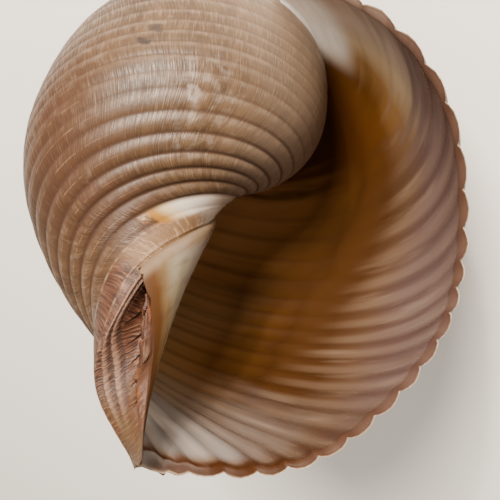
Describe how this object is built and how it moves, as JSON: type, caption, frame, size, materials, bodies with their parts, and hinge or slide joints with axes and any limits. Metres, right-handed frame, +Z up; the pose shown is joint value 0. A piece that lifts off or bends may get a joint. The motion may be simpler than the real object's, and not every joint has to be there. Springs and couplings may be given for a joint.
{
  "type": "tun shell",
  "caption": "Large, thin, swollen sea snail shell with spiral ribs, a low spire, a very wide open mouth with a notched lip, and a siphonal end beside a twisted columella.",
  "frame": {"origin": "on the floor, under the middle of the box round the shell as it lies", "axes": "+Z up from the floor the shell lies on, with the mouth facing up and towards -Y and +X the longest side of its box; the spire points down and towards -Y"},
  "size_m": [0.1422, 0.132, 0.1348],
  "materials": {
    "shell": "semi-gloss outside, glossy inside the mouth"
  },
  "bodies": {
    "root": {"shell": "shell"}
  },
  "joints": []
}
